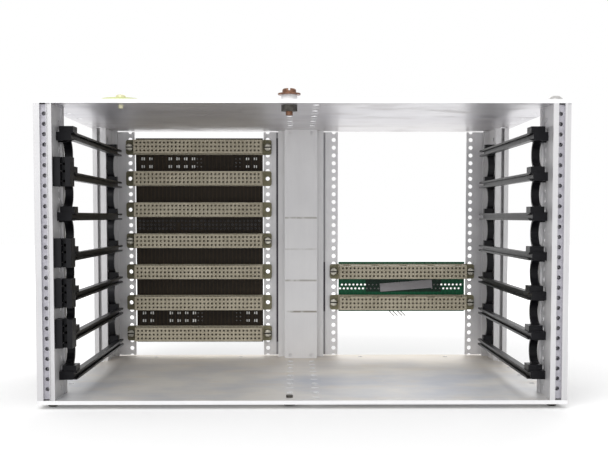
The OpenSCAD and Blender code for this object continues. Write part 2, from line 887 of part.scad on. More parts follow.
module backplane_right() {
    mid_z = (connector_z(RIGHT_SLOTS[0]) + connector_z(RIGHT_SLOTS[1])) / 2;
    color("#0c6b3a")
        in_frame()
            difference() {
                backplane(connector_x, RIGHT_SLOTS[0], RIGHT_SLOTS[1]);
                via_row(mid_z + contact_pitch / 2, 0, OPEN_VIAS_LEFT, OPEN_VIAS_RIGHT);
                via_row(mid_z - contact_pitch / 2, -contact_pitch / 2,
                        OPEN_VIAS_LEFT, OPEN_VIAS_RIGHT - 1);
            }
}

// Blank label lying slightly askew on the right board
module blank_label() {
    mid_z = (connector_z(RIGHT_SLOTS[0]) + connector_z(RIGHT_SLOTS[1])) / 2;
    color("#b9b8bd")
        in_frame()
            translate([connector_x + 3.1, strip_back_y, mid_z + 0.6])
                rotate([0, -label_tilt, 0])
                    translate([-label_l / 2, -label_t, -label_w / 2])
                        cube([label_l, label_t, label_w]);
}

// Places its children on both fixing holes of a connector
module at_fixings(x, slot) {
    for (side = [-1, 1])
        translate([x + side * fixing_spacing / 2, 0, connector_z(slot)])
            children();
}

// Places its children on all connector fixings that have a screw
module at_connector_screws() {
    for (slot = SCREWED_SLOTS)
        at_fixings(-connector_x, slot)
            children();
    for (slot = RIGHT_SLOTS)
        at_fixings(connector_x, slot)
            children();
}

// Pan-head screw along +Y: head in front of y, shank of length l behind it
module screw_y(y, head_d, head_h, shank_d, l) {
    translate([0, y, 0])
        rotate([-90, 0, 0]) {
            difference() {
                pan_head(head_d, head_h);
                translate([-head_d, -head_slot_w / 2, -head_h - cut])
                    cube([2 * head_d, head_slot_w, head_h / 2 + cut]);
            }
            cylinder(h = l, d = shank_d, $fn = 32);
        }
}

// Pan head below z = 0 with a rounded rim
module pan_head(d, h) {
    rim = h * 0.45;
    translate([0, 0, -h])
        rotate_extrude($fn = 48) {
            square([d / 2 - rim, h]);
            translate([0, rim])
                square([d / 2, h - rim]);
            translate([d / 2 - rim, rim])
                intersection() {
                    circle(r = rim, $fn = 32);
                    translate([0, -rim])
                        square(rim);
                }
        }
}

module connector_screws() {
    color("#8d8a80")
        in_frame()
            at_connector_screws()
                screw_y(connector_plane_y - flange_t, small_head_d, small_head_h, small_screw_d,
                        flange_t + strip_t + small_nut_t + 0.6);
}

// Hexagonal nut standing on z = 0
module nut(af, t, hole_d) {
    difference() {
        cylinder(h = t, d = af / cos(30), $fn = 6);
        translate([0, 0, -cut])
            cylinder(h = t + 2 * cut, d = hole_d, $fn = 32);
    }
}

module connector_nuts() {
    color("#9a9a96")
        in_frame()
            at_connector_screws()
                translate([0, strip_back_y, 0])
                    rotate([-90, 30, 0])
                        nut(small_nut_af, small_nut_t, small_screw_d + 2 * fit);
}

// Small screws that hold the strips to the rails from behind
module strip_screws() {
    shank = strip_t + 1.2;
    color("#9a9a96")
        in_frame()
            for (side = [-1, 1], i = [0 : strip_screw_count - 1],
                 x = [strip_screw_x1, strip_screw_x2])
                translate([side * x, strip_back_y, strip_screw_z(i)])
                    rotate([90, 0, 0]) {
                        pan_head(2.8, 1);
                        cylinder(h = shank, d = strip_screw_d, $fn = 32);
                    }
}

// Countersunk screw with its head flush at z = 0 and its shank below
module flush_screw(head_d, head_h, shank_d, l) {
    difference() {
        union() {
            translate([0, 0, -head_h])
                cylinder(h = head_h, d1 = shank_d, d2 = head_d, $fn = 48);
            translate([0, 0, -l])
                cylinder(h = l - head_h, d = shank_d, $fn = 32);
        }
        translate([-head_d, -head_slot_w / 2, -head_h / 2])
            cube([2 * head_d, head_slot_w, head_h]);
    }
}

module centre_rail_screws() {
    l = plate_t + rail_screw_l;
    color("silver")
        in_frame()
            for (side = [-1, 1])
                translate([side * mid_row_x, centre_core_y, 0]) {
                    translate([0, 0, top_z])
                        flush_screw(centre_cone_d, centre_cone_h, centre_screw_d, l);
                    translate([0, 0, foot_h])
                        mirror([0, 0, 1])
                            flush_screw(centre_cone_d, centre_cone_h, centre_screw_d, l);
                }
}

// Domed head above z = 0 with a hexagonal socket, and a shank below
module dome_screw(d, h, shank_d, l) {
    flat_r = d * 0.29;
    sink = (d * d / 4 - flat_r * flat_r - h * h) / (2 * h);
    difference() {
        intersection() {
            translate([0, 0, -sink])
                sphere(r = sqrt(d * d / 4 + sink * sink), $fn = 64);
            cylinder(h = h, d = d, $fn = 64);
        }
        translate([0, 0, h / 2])
            cylinder(h = h, d = 2.9, $fn = 6);
    }
    translate([0, 0, -l])
        cylinder(h = l, d = shank_d, $fn = 32);
}

module top_dome_screws() {
    color("silver")
        in_frame()
            for (place = [[core_x, front_core_y], [-core_x, rear_core_y],
                          [core_x, rear_core_y]])
                translate([place[0], place[1], top_z])
                    dome_screw(dome_d, dome_h, rail_screw_d, plate_t + rail_screw_l);
}

module top_flush_screw() {
    color("silver")
        in_frame()
            translate([-core_x, front_core_y, top_z])
                flush_screw(cone_d, cone_h, rail_screw_d, plate_t + rail_screw_l);
}

// The four lower end screws; the cage stands on their heads
module foot_screws() {
    color("#3a3634")
        in_frame()
            for (y = [front_core_y, rear_core_y])
                at_cores(y)
                    translate([0, 0, foot_h])
                        mirror([0, 0, 1])
                            dome_screw(foot_d, foot_h, rail_screw_d, plate_t + rail_screw_l);
}

// Places its children on the earth screw's axis
module at_earth(z) {
    in_frame()
        translate([-mid_row_x, first_hole_y, z])
            children();
}

module earth_screw() {
    stack_h = spacer_h + washer_t;
    shank_l = stack_h + plate_t + earth_nut_t + 2;
    color("#8a5a3c")
        at_earth(top_z + stack_h) {
            translate([0, 0, -shank_l])
                cylinder(h = shank_l, d = earth_screw_d, $fn = 32);
            mirror([0, 0, 1])
                difference() {
                    pan_head(earth_head_d, earth_head_h);
                    translate([-head_slot_w / 2, -earth_head_d, -earth_head_h - cut])
                        cube([head_slot_w, 2 * earth_head_d, earth_head_h / 2 + cut]);
                }
        }
}

// Flat ring standing on z = 0
module ring(d, h, hole_d) {
    difference() {
        cylinder(h = h, d = d, $fn = 64);
        translate([0, 0, -cut])
            cylinder(h = h + 2 * cut, d = hole_d, $fn = 32);
    }
}

module earth_washer() {
    color("#c9c4b8")
        at_earth(top_z + spacer_h)
            ring(washer_d, washer_t, earth_screw_d + 2 * fit);
}

module earth_spacer() {
    color("#f0f0ee")
        at_earth(top_z)
            ring(spacer_d, spacer_h, earth_screw_d + 2 * fit);
}

module earth_nut() {
    color("#33332c")
        at_earth(roof_z - earth_nut_t)
            nut(earth_nut_af, earth_nut_t, earth_screw_d + 2 * fit);
}

module pale_disc() {
    color("#d8dc9a")
        in_frame()
            translate([-disc_x, disc_y, top_z])
                ring(disc_d, disc_t, small_screw_d + 2 * fit);
}

module disc_screw() {
    color("#b9b08a")
        in_frame()
            translate([-disc_x, disc_y, top_z + disc_t]) {
                mirror([0, 0, 1])
                    pan_head(small_head_d, small_head_h + 0.4);
                translate([0, 0, -disc_t - plate_t - 1.6])
                    cylinder(h = disc_t + plate_t + 1.6, d = small_screw_d, $fn = 32);
            }
}

// Loose-fitted screw left in the front hole of the bottom side plate, put in from below
module spare_slot_screw() {
    color("#4a4844")
        in_frame()
            translate([-mid_row_x, first_hole_y, foot_h]) {
                pan_head(earth_head_d, spare_screw_h);
                cylinder(h = plate_t + 1.2, d = earth_screw_d, $fn = 32);
            }
}

// Four short leads that hang behind the lower edge of the right board
module wire_leads() {
    start_z = connector_z(RIGHT_SLOTS[1]) - backplane_margin + 1;
    color("#55534a")
        in_frame()
            for (x = lead_x)
                translate([x, backplane_back_y + lead_d / 2, start_z])
                    rotate([0, 135, 0])
                        cylinder(h = 6, d = lead_d, $fn = 16);
}

top_side_plate();
bottom_side_plate();
front_rail(false);  // front_rail_left
front_rail(true);  // front_rail_right
threaded_strip(false);  // threaded_strip_left
threaded_strip(true);  // threaded_strip_right
rear_rail(false);  // rear_rail_left
rear_rail(true);  // rear_rail_right
centre_rail();
outer_strip(false);  // perforated_strip_1
inner_strip(false);  // perforated_strip_2
inner_strip(true);  // perforated_strip_3
outer_strip(true);  // perforated_strip_4
guide(false, 1);  // guide_left_1
guide(false, 2);  // guide_left_2
guide(false, 3);  // guide_left_3
guide(false, 4);  // guide_left_4
guide(false, 5);  // guide_left_5
guide(false, 6);  // guide_left_6
guide(false, 7);  // guide_left_7
guide(true, 1);  // guide_right_1
guide(true, 2);  // guide_right_2
guide(true, 3);  // guide_right_3
guide(true, 4);  // guide_right_4
guide(true, 5);  // guide_right_5
guide(true, 6);  // guide_right_6
guide(true, 7);  // guide_right_7
coding_block(2);  // coding_block_2
coding_block(4);  // coding_block_4
coding_block(5);  // coding_block_5
coding_block(6);  // coding_block_6
backplane_left();
backplane_right();
blank_label();
connector_left(1);  // connector_left_1
connector_left(2);  // connector_left_2
connector_left(3);  // connector_left_3
connector_left(4);  // connector_left_4
connector_left(5);  // connector_left_5
connector_left(6);  // connector_left_6
connector_left(7);  // connector_left_7
connector_right(5);  // connector_right_5
connector_right(6);  // connector_right_6
connector_screws();
connector_nuts();
strip_screws();
centre_rail_screws();
top_dome_screws();
top_flush_screw();
foot_screws();
earth_screw();
earth_washer();
earth_spacer();
earth_nut();
pale_disc();
disc_screw();
spare_slot_screw();
wire_leads();
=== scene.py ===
import math

import bpy
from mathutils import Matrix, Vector


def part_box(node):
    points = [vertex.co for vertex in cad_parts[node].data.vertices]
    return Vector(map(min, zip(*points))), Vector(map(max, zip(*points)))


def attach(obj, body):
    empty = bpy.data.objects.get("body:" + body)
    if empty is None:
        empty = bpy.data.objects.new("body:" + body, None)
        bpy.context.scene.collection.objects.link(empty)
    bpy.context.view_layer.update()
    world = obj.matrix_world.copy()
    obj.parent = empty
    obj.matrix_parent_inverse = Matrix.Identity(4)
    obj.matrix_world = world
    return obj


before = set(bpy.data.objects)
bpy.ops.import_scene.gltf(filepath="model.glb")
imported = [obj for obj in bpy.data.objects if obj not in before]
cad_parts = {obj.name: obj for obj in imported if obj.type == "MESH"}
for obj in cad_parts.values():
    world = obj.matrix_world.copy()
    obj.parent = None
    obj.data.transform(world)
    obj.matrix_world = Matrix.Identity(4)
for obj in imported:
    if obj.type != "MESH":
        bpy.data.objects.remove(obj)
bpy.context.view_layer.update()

MM = 0.001

# ---------------------------------------------------------------- sizes
PITCH = 2.54 * MM  # between contacts, in both directions
COLUMNS = 32  # of contacts in a connector
SLOT_PITCH = 20.32 * MM
GROOVE_RISE = 2.15 * MM  # from the bottom of a guide to the middle of its groove
STRIP_GROOVE_INSET = 8.85 * MM  # from the outer edge of an outer strip to its groove
STRIP_GROOVE_HALF = 0.6 * MM
CENTRE_PLATE_HALF = 10.35 * MM
CONNECTOR_BODY_HALF = 41.9 * MM


def node_box(name):
    low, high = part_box(name)
    return Vector(low), Vector(high)


def middle(name):
    low, high = node_box(name)
    return (low + high) / 2


LEFT_CONNECTORS = ["connector_left_%d" % i for i in range(1, 8)]
RIGHT_CONNECTORS = ["connector_right_5", "connector_right_6"]
CONNECTORS = LEFT_CONNECTORS + RIGHT_CONNECTORS
GUIDES = ["guide_%s_%d" % (side, i) for side in ("left", "right") for i in range(1, 8)]
CODING_BLOCKS = ["coding_block_%d" % i for i in (2, 4, 5, 6)]
STRIPS = ["perforated_strip_%d" % i for i in (1, 2, 3, 4)]
LEFT_BOARD = node_box("backplane_left")
RIGHT_BOARD = node_box("backplane_right")
BOARD_FRONT = LEFT_BOARD[0].y
BOARD_BACK = LEFT_BOARD[1].y


# ---------------------------------------------------------------- node helpers
class Graph:
    """Adds nodes to a tree; an input is given as a value or as another node's output."""

    def __init__(self, tree):
        self.tree = tree

    def add(self, kind, inputs=None, **props):
        node = self.tree.nodes.new(kind)
        for key, value in props.items():
            setattr(node, key, value)
        for key, value in (inputs or {}).items():
            self.put(node.inputs[key], value)
        return node

    def put(self, socket, value):
        if isinstance(value, bpy.types.NodeSocket):
            self.tree.links.new(value, socket)
        elif hasattr(value, "__len__") and socket.type == "RGBA" and len(value) == 3:
            socket.default_value = (*value, 1.0)
        else:
            socket.default_value = value

    def maths(self, operation, first, second=0.0, clamp=False):
        node = self.add("ShaderNodeMath", {0: first, 1: second}, operation=operation)
        node.use_clamp = clamp
        return node.outputs[0]

    def remap(self, value, low, high, to_low=0.0, to_high=1.0):
        node = self.add("ShaderNodeMapRange", {
            "Value": value, "From Min": low, "From Max": high,
            "To Min": to_low, "To Max": to_high})
        return node.outputs["Result"]

    def blend(self, factor, first, second, mode="MIX"):
        node = self.add("ShaderNodeMix", data_type="RGBA", blend_type=mode)
        self.put(node.inputs[0], factor)
        self.put(node.inputs[6], first)
        self.put(node.inputs[7], second)
        return node.outputs[2]

    def noise(self, vector, scale, detail=3.0, rough=0.5):
        return self.add("ShaderNodeTexNoise", {
            "Vector": vector, "Scale": scale, "Detail": detail,
            "Roughness": rough}).outputs["Fac"]

    def stretched(self, vector, factors, offset=(0, 0, 0)):
        return self.add("ShaderNodeMapping", {
            "Vector": vector, "Scale": factors, "Location": offset}).outputs[0]


def shader_group(name, inputs, outputs, build):
    """A shader node group; inputs are (name, socket type, default)."""
    tree = bpy.data.node_groups.new(name, "ShaderNodeTree")
    for label, kind, default in inputs:
        socket = tree.interface.new_socket(name=label, in_out="INPUT", socket_type=kind)
        if default is not None:
            socket.default_value = default
    for label, kind in outputs:
        tree.interface.new_socket(name=label, in_out="OUTPUT", socket_type=kind)
    graph = Graph(tree)
    entry = tree.nodes.new("NodeGroupInput").outputs
    leave = tree.nodes.new("NodeGroupOutput").inputs
    for label, value in build(graph, entry).items():
        graph.put(leave[label], value)
    return tree


FLOAT, VECTOR = "NodeSocketFloat", "NodeSocketVector"


def cloud_group(g, entry):
    """Soft patches, from 0 to 1, with their edges at Low and High."""
    big = g.noise(entry["Vector"], entry["Scale"], 4.0, 0.55)
    return {"Mask": g.remap(big, entry["Low"], entry["High"])}


def grain_group(g, entry):
    """Fine drawn or rolled grain: very long in one direction, fine in the others."""
    lines = g.noise(entry["Vector"], entry["Fineness"], 2.0, 0.6)
    coarse = g.noise(entry["Vector"], g.maths("MULTIPLY", entry["Fineness"], 0.17), 2.0, 0.5)
    both = g.maths("ADD", g.maths("MULTIPLY", lines, 0.6), g.maths("MULTIPLY", coarse, 0.4))
    return {"Value": g.remap(both, 0.3, 0.7)}


def scratch_group(g, entry):
    """Sparse thin marks: the narrow borders of a stretched cell pattern, broken up by noise."""
    cells = g.add("ShaderNodeTexVoronoi", {
        "Vector": entry["Vector"], "Scale": entry["Scale"]},
        feature="DISTANCE_TO_EDGE").outputs["Distance"]
    line = g.remap(cells, 0.0, entry["Width"], 1.0, 0.0)
    where = g.remap(g.noise(entry["Vector"], g.maths("MULTIPLY", entry["Scale"], 0.5)),
                    0.56, 0.66)
    return {"Mask": g.maths("MULTIPLY", line, where, True)}


def dust_group(g, entry):
    """Dust on faces that look up: more where the noise is high."""
    normal = g.add("ShaderNodeNewGeometry").outputs["Normal"]
    up = g.add("ShaderNodeSeparateXYZ", {0: normal}).outputs["Z"]
    facing = g.remap(up, 0.2, 0.9)
    spots = g.remap(g.noise(entry["Vector"], entry["Scale"], 5.0, 0.6), 0.35, 0.75)
    return {"Mask": g.maths("MULTIPLY", g.maths("MULTIPLY", facing, spots), entry["Amount"])}


CLOUD = shader_group("soft_patches", [
    ("Vector", VECTOR, None), ("Scale", FLOAT, 12.0), ("Low", FLOAT, 0.35),
    ("High", FLOAT, 0.65)], [("Mask", FLOAT)], cloud_group)
GRAIN = shader_group("drawn_grain", [
    ("Vector", VECTOR, None), ("Fineness", FLOAT, 900.0)], [("Value", FLOAT)], grain_group)
SCRATCH = shader_group("fine_scratches", [
    ("Vector", VECTOR, None), ("Scale", FLOAT, 60.0), ("Width", FLOAT, 0.01)],
    [("Mask", FLOAT)], scratch_group)
DUST = shader_group("settled_dust", [
    ("Vector", VECTOR, None), ("Scale", FLOAT, 90.0), ("Amount", FLOAT, 0.4)],
    [("Mask", FLOAT)], dust_group)


class Finish:
    """A material with its Principled shader and object coordinates at hand."""

    def __init__(self, name, metallic=0.0, specular=0.5):
        self.material = bpy.data.materials.new(name)
        self.material.use_nodes = True
        self.tree = self.material.node_tree
        self.tree.nodes.clear()
        self.g = Graph(self.tree)
        self.shader = self.g.add("ShaderNodeBsdfPrincipled", {
            "Metallic": metallic, "Specular IOR Level": specular})
        out = self.g.add("ShaderNodeOutputMaterial")
        self.tree.links.new(self.shader.outputs[0], out.inputs["Surface"])
        self.place = self.g.add("ShaderNodeTexCoord").outputs["Object"]
        xyz = self.g.add("ShaderNodeSeparateXYZ", {0: self.place}).outputs
        self.x, self.y, self.z = xyz["X"], xyz["Y"], xyz["Z"]

    def use(self, group, output, **inputs):
        node = self.g.add("ShaderNodeGroup")
        node.node_tree = group
        for key, value in inputs.items():
            self.g.put(node.inputs[key], value)
        return node.outputs[output]

    def window(self, value, low, high, soft):
        """1 where value lies between low and high, with soft ends."""
        rise = self.g.remap(value, low - soft, low + soft)
        fall = self.g.remap(value, high - soft, high + soft, 1.0, 0.0)
        return self.g.maths("MULTIPLY", rise, fall, True)

    def colour(self, value):
        self.g.put(self.shader.inputs["Base Color"], value)

    def rough(self, value):
        self.g.put(self.shader.inputs["Roughness"], value)

    def bump(self, height, distance, strength=1.0):
        node = self.g.add("ShaderNodeBump", {
            "Height": height, "Distance": distance, "Strength": strength})
        self.tree.links.new(node.outputs[0], self.shader.inputs["Normal"])


# ---------------------------------------------------------------- finishes
def rolled_sheet(name, light, dark, warm, roughness, metallic):
    """Rolled aluminium sheet: grain across the cage, stains and scratches."""
    f = Finish(name, metallic)
    across = f.g.stretched(f.place, (0.06, 1.0, 1.0))
    grain = f.use(GRAIN, "Value", Vector=across, Fineness=1100.0)
    clouds = f.use(CLOUD, "Mask", Vector=f.place, Scale=17.0, Low=0.38, High=0.66)
    stains = f.use(CLOUD, "Mask", Vector=f.g.stretched(f.place, (1.0, 1.6, 1.0), (3, 1, 0)),
                   Scale=34.0, Low=0.52, High=0.7)
    lines = f.use(SCRATCH, "Mask", Vector=f.g.stretched(f.place, (0.5, 1.4, 1.0)),
                  Scale=30.0, Width=0.006)
    rear = f.g.remap(f.y, -0.02, 0.085)
    col = f.g.blend(clouds, light, dark)
    col = f.g.blend(f.g.maths("MULTIPLY", rear, 0.65), col, warm)
    col = f.g.blend(f.g.maths("MULTIPLY", stains, 0.35), col, warm)
    col = f.g.blend(f.g.maths("MULTIPLY", grain, 0.16), col, dark)
    col = f.g.blend(f.g.maths("MULTIPLY", lines, 0.5), col, light)
    # painted highlight: faces that look neither up nor down (the sheet's cut edges and the far
    # walls of its holes) are painted near white, as if the front light caught them
    normal = f.g.add("ShaderNodeNewGeometry").outputs["Normal"]
    upward = f.g.add("ShaderNodeSeparateXYZ", {0: normal}).outputs["Z"]
    lit_cut_faces = f.g.remap(f.g.maths("ABSOLUTE", upward), 0.4, 0.6, 1.0, 0.0)
    f.colour(f.g.blend(lit_cut_faces, col, (0.90, 0.90, 0.91)))
    base = f.g.remap(grain, 0.0, 1.0, roughness - 0.05, roughness + 0.07)
    f.rough(f.g.maths("ADD", base, f.g.maths("MULTIPLY", stains, 0.12)))
    f.bump(grain, 0.00002, 0.6)
    return f.material


def extrusion(name, light, dark, roughness, metallic, marks=None):
    """Anodised extrusion drawn along Z; marks adds to the colour."""
    f = Finish(name, metallic)
    along = f.g.stretched(f.place, (1.0, 1.0, 0.03))
    grain = f.use(GRAIN, "Value", Vector=along, Fineness=1600.0)
    clouds = f.use(CLOUD, "Mask", Vector=f.place, Scale=26.0, Low=0.4, High=0.68)
    col = f.g.blend(f.g.maths("MULTIPLY", clouds, 0.55), light, dark)
    col = f.g.blend(f.g.maths("MULTIPLY", grain, 0.22), col, dark)
    if marks:
        col = marks(f, col)
    f.colour(col)
    f.rough(f.g.remap(grain, 0.0, 1.0, roughness - 0.05, roughness + 0.08))
    f.bump(grain, 0.00002, 0.5)
    return f.material


def rub_marks(f, col):
    """Thin brown lines that sliding boards left on the centre rail, level with the slots."""
    brown = (0.20, 0.18, 0.13)
    plate = f.g.remap(f.g.maths("ABSOLUTE", f.x), CENTRE_PLATE_HALF - 0.15 * MM,
                      CENTRE_PLATE_HALF + 0.15 * MM, 1.0, 0.0)
    for slot, amount in ((3, 0.55), (4, 0.25), (5, 0.6), (6, 0.8)):
        level = guide_level(slot)
        band = f.window(f.z, level - 0.55 * MM, level + 0.55 * MM, 0.2 * MM)
        broken = f.g.remap(f.g.noise(f.place, 210.0, 3.0), 0.30, 0.55)
        mark = f.g.maths("MULTIPLY", f.g.maths("MULTIPLY", band, broken), plate)
        col = f.g.blend(f.g.maths("MULTIPLY", mark, amount), col, brown)
    return col


def guide_level(slot):
    """Height of the middle of a guide's groove."""
    lowest = node_box("guide_left_7")[0].z
    return lowest + GROOVE_RISE + (7 - slot) * SLOT_PITCH


def strip_metal(name):
    """Perforated strip: satin aluminium; its groove is painted shade, grey, and near black
    where a board lies behind it.
    """
    f = Finish(name, 0.4)
    along = f.g.stretched(f.place, (1.0, 1.0, 0.04))
    grain = f.use(GRAIN, "Value", Vector=along, Fineness=1500.0)
    clouds = f.use(CLOUD, "Mask", Vector=f.place, Scale=30.0, Low=0.4, High=0.7)
    col = f.g.blend(clouds, (0.76, 0.755, 0.765), (0.64, 0.635, 0.65))
    col = f.g.blend(f.g.maths("MULTIPLY", grain, 0.15), col, (0.42, 0.41, 0.44))
    low, high = node_box("perforated_strip_3")
    groove = high.x - STRIP_GROOVE_INSET
    inside = f.window(f.g.maths("ABSOLUTE", f.x), groove - STRIP_GROOVE_HALF,
                      groove + STRIP_GROOVE_HALF, 0.08 * MM)
    depth = f.g.remap(f.y, low.y + 0.2 * MM, low.y + 0.5 * MM)
    inside = f.g.maths("MULTIPLY", inside, depth)
    right = f.g.remap(f.x, -1.0 * MM, 1.0 * MM)
    board_shade_left = f.window(f.z, LEFT_BOARD[0].z, LEFT_BOARD[1].z, 0.3 * MM)
    board_shade_right = f.window(f.z, RIGHT_BOARD[0].z, RIGHT_BOARD[1].z, 0.3 * MM)
    left = f.g.maths("SUBTRACT", 1.0, right)
    behind = f.g.maths("ADD", f.g.maths("MULTIPLY", board_shade_left, left),
                       f.g.maths("MULTIPLY", board_shade_right, right))
    # painted shade: the groove is painted grey, and near black level with a board behind the
    # strip, where the board blocks the light
    line = f.g.blend(behind, (0.34, 0.335, 0.35), (0.055, 0.045, 0.06))
    col = f.g.blend(inside, col, line)
    f.colour(col)
    f.rough(f.g.remap(grain, 0.0, 1.0, 0.36, 0.48))
    f.bump(grain, 0.00002, 0.4)
    return f.material


def moulded(name, colour, paler, roughness, dust=0.3, fine=1400.0, specular=0.45):
    """Moulded plastic: fine texture, slight colour drift and dust on top."""
    f = Finish(name, 0.0, specular)
    drift = f.use(CLOUD, "Mask", Vector=f.place, Scale=60.0, Low=0.4, High=0.7)
    powder = f.use(DUST, "Mask", Vector=f.place, Scale=160.0, Amount=dust)
    skin = f.g.noise(f.place, fine, 2.0, 0.6)
    col = f.g.blend(f.g.maths("MULTIPLY", drift, 0.6), colour, paler)
    f.colour(f.g.blend(powder, col, (0.42, 0.40, 0.38)))
    f.rough(f.g.remap(skin, 0.3, 0.7, roughness - 0.06, roughness + 0.08))
    f.bump(skin, 0.00002, 0.5)
    return f.material


def connector_plastic(name):
    """Aged glass-filled moulding: beige body, olive flanges painted darker than the body as
    painted shade where they sit deeper, and more painted shade at the far left.
    """
    f = Finish(name, 0.0, 0.35)
    beige, beige_dark = (0.50, 0.455, 0.35), (0.42, 0.38, 0.285)
    # olive: the flanges' colour, kept darker than the beige as painted shade where the flanges
    # sit deeper
    olive, olive_dark = (0.27, 0.25, 0.155), (0.19, 0.178, 0.108)
    clouds = f.use(CLOUD, "Mask", Vector=f.place, Scale=75.0, Low=0.4, High=0.66)
    side = f.g.maths("ABSOLUTE", f.g.maths(
        "SUBTRACT", f.g.maths("ABSOLUTE", f.x), abs(middle("connector_left_1").x)))
    flange = f.g.remap(side, CONNECTOR_BODY_HALF - 0.2 * MM, CONNECTOR_BODY_HALF + 0.2 * MM)
    body = f.g.blend(clouds, beige, beige_dark)
    ends = f.g.blend(clouds, olive, olive_dark)
    # painted shade on the flanges at the far left
    far_left_shade = f.g.remap(f.x, -108.0 * MM, -104.0 * MM, 0.45, 0.0)
    ends = f.g.blend(far_left_shade, ends, (0.10, 0.095, 0.06))
    skin = f.g.noise(f.place, 1500.0, 2.0, 0.6)
    speck = f.g.remap(f.g.noise(f.place, 520.0, 2.0), 0.6, 0.7)
    col = f.g.blend(flange, body, ends)
    f.colour(f.g.blend(f.g.maths("MULTIPLY", speck, 0.35), col, (0.50, 0.45, 0.34)))
    f.rough(f.g.remap(skin, 0.3, 0.7, 0.5, 0.68))
    f.bump(skin, 0.00002, 0.5)
    return f.material


def board_laminate(name, base, trace, between, gloss, box, patch=None):
    """Circuit board with traces one contact pitch apart; patch is a dark area of it, given as
    its left, right, low and high edges in millimetres."""
    f = Finish(name, 0.0, 0.22)
    start = (box[0].x + box[1].x) / 2
    step = f.g.maths("FRACT", f.g.maths("DIVIDE", f.g.maths("SUBTRACT", f.x, start), PITCH))
    line = f.window(step, 0.36, 0.64, 0.06)
    weave = f.g.noise(f.place, 2300.0, 2.0, 0.5)
    clouds = f.use(CLOUD, "Mask", Vector=f.place, Scale=22.0, Low=0.36, High=0.66)
    col = f.g.blend(f.g.maths("MULTIPLY", clouds, 0.8), base, between)
    col = f.g.blend(f.g.maths("MULTIPLY", line, 0.5), col, trace)
    if patch:
        left, right, low, high = (v * MM for v in patch)
        area = f.g.maths("MULTIPLY", f.window(f.x, left, right, 0.4 * MM),
                         f.window(f.z, low, high, 0.3 * MM))
        col = f.g.blend(f.g.maths("MULTIPLY", area, 0.85), col, (0.004, 0.012, 0.008))
    f.colour(col)
    f.rough(f.g.remap(weave, 0.3, 0.7, gloss - 0.04, gloss + 0.08))
    f.bump(line, 0.00004, 0.7)
    return f.material


def turned_metal(name, colour, dark, roughness, metallic=0.9):
    """Small plated hardware: uneven plating with darker patches."""
    f = Finish(name, metallic)
    clouds = f.use(CLOUD, "Mask", Vector=f.place, Scale=420.0, Low=0.38, High=0.68)
    fine = f.g.noise(f.place, 2600.0, 2.0, 0.6)
    f.colour(f.g.blend(clouds, colour, dark))
    f.rough(f.g.remap(fine, 0.3, 0.7, roughness - 0.06, roughness + 0.1))
    f.bump(fine, 0.00002, 0.35)
    return f.material


def ringed_screw(name, bright, dark, node):
    """Screw with a painted highlight on its domed middle and painted shade on the rim round it.
    """
    f = Finish(name, 0.7)
    front = node_box(node)[0].y
    # painted shade on the rim, behind the dome's painted highlight
    rim = f.g.remap(f.y, front + 0.35 * MM, front + 0.7 * MM)
    clouds = f.use(CLOUD, "Mask", Vector=f.place, Scale=420.0, Low=0.38, High=0.68)
    painted_highlight_tone = f.g.blend(f.g.maths("MULTIPLY", clouds, 0.5), bright, dark)
    f.colour(f.g.blend(rim, painted_highlight_tone, dark))
    f.rough(0.32)
    return f.material


